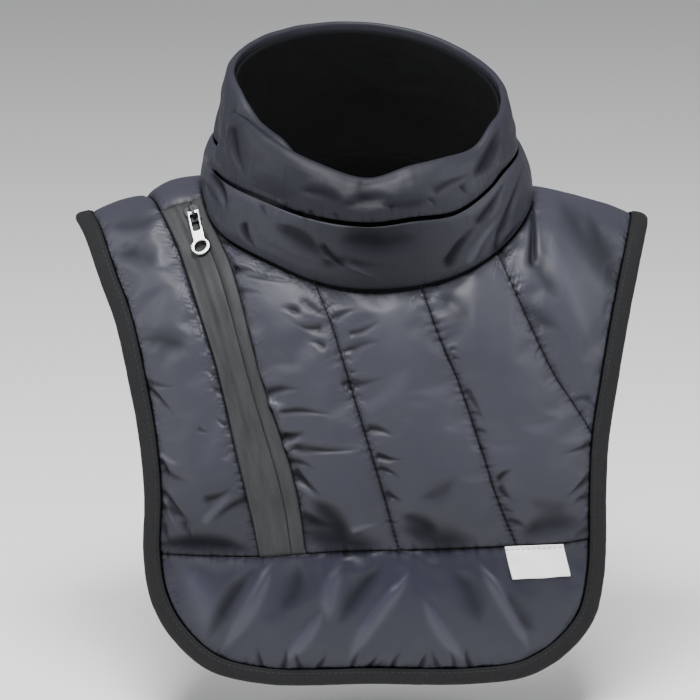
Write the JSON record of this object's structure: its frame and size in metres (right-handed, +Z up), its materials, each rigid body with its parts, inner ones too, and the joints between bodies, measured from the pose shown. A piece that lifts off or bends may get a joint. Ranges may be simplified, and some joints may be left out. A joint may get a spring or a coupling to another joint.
{
  "type": "neck warmer",
  "caption": "Padded neck warmer held as worn: quilted bib front and shorter back with bound edges, an oblique front zip and a rolled stand-up collar that overlaps at one side.",
  "frame": {"origin": "centre of the neck hole, a little above the front neck seam, where the collar sits on the wearer's neck", "axes": "+Z up, -Y towards the front of the garment, +X towards the wearer's left, which is the right side of a front view"},
  "size_m": [0.3513, 0.2487, 0.3717],
  "materials": {
    "nylon_shell": "smooth, slightly shiny woven nylon",
    "nylon_hem": "smooth, slightly shiny woven nylon",
    "fleece_lining": "matt short-pile fleece",
    "zip_tape": "satin coated tape",
    "edge_binding": "matt knitted ribbon",
    "label_tape": "matt woven label, blank",
    "slider_metal": "black enamel over cast metal",
    "nickel": "polished plated metal"
  },
  "bodies": {
    "garment": {"chest_panel": "nylon_shell", "side_panel": "nylon_shell", "shoulder_patch": "nylon_shell", "hem_panel": "nylon_hem", "back_panel": "nylon_shell", "zip_tape_side": "zip_tape", "zip_tape_chest": "zip_tape", "collar_lower_band": "nylon_shell", "collar_upper_band": "nylon_shell", "collar_lining": "fleece_lining", "edge_binding_hem": "edge_binding", "edge_binding_right": "edge_binding", "edge_binding_back": "edge_binding", "edge_binding_left": "edge_binding", "label": "label_tape", "zip_slider": "slider_metal"},
    "pull": {"zip_pull": "nickel"}
  },
  "joints": [
    {"name": "pull_swing", "type": "hinge", "parent": "garment", "child": "pull", "pos_m": [-0.10321, -0.03914, -0.00017], "axis": [-0.9671, -0.0214, -0.2534], "range_deg": [0, 150]}
  ]
}
